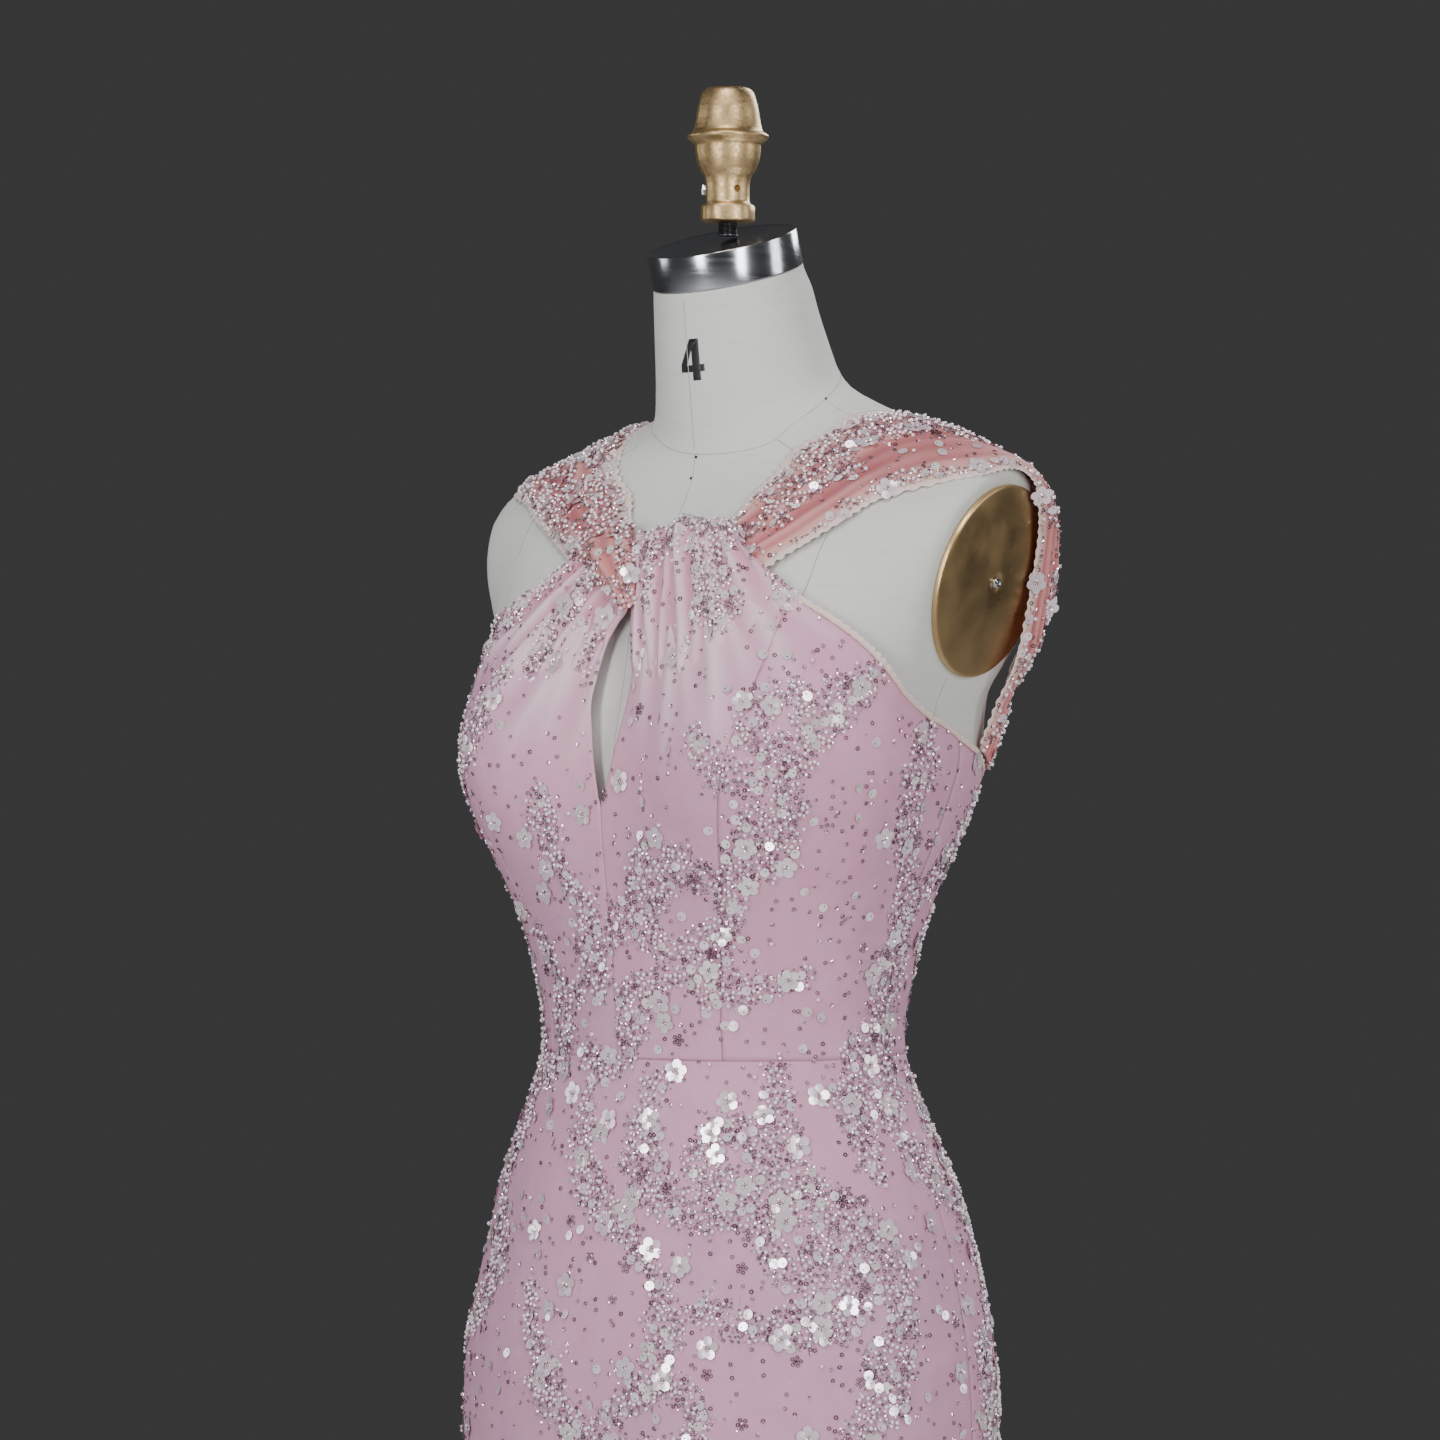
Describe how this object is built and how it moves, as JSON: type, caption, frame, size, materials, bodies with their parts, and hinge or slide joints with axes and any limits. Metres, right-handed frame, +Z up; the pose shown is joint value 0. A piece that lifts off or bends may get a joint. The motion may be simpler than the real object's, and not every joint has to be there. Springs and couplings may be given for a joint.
{
  "type": "evening gown on a dress form",
  "caption": "Floor-length halter evening gown with a twisted knot and keyhole front, a fitted bodice and a trumpet hem, on a limbless dress form with a pole and a weighted base.",
  "frame": {"origin": "on the floor, at the middle of the bounding box, under the form's pole", "axes": "+Z up; the gown faces -Y; +X is the wearer's left"},
  "size_m": [0.6225, 0.6173, 1.6495],
  "materials": {
    "beaded_tulle": "satin, beaded",
    "coral_tulle": "sheer, gathered, beaded",
    "form_cover": "matt linen",
    "cap_steel": "brushed",
    "stem_steel": "dark, satin",
    "finial_bronze": "cast, gilt",
    "plate_brass": "satin, lacquered",
    "base_iron": "black enamel",
    "zip_metal": "pink enamel"
  },
  "bodies": {
    "gown_on_form": {"bodice_front_left": "beaded_tulle", "bodice_front_right": "beaded_tulle", "bodice_side_left": "beaded_tulle", "bodice_side_right": "beaded_tulle", "bodice_back_left": "beaded_tulle", "bodice_back_right": "beaded_tulle", "skirt_front": "beaded_tulle", "skirt_back_left": "beaded_tulle", "skirt_back_right": "beaded_tulle", "strap_left": "coral_tulle", "strap_right": "coral_tulle", "knot_left": "coral_tulle", "knot_right": "coral_tulle", "zip_tape": "beaded_tulle", "zip_slider": "zip_metal", "form_torso": "form_cover", "neck_cap": "cap_steel", "stem": "stem_steel", "finial": "finial_bronze", "arm_plate_left": "plate_brass", "arm_plate_right": "plate_brass", "arm_screw_left": "stem_steel", "arm_screw_right": "stem_steel", "pole": "stem_steel", "base": "base_iron"},
    "zip_pull_swing": {"zip_pull": "zip_metal"}
  },
  "joints": [
    {"name": "zip_pull_hinge", "type": "hinge", "parent": "gown_on_form", "child": "zip_pull_swing", "pos_m": [0, 0.11564, 1.16793], "axis": [1, 0, 0], "range_deg": [-4, 140]}
  ]
}
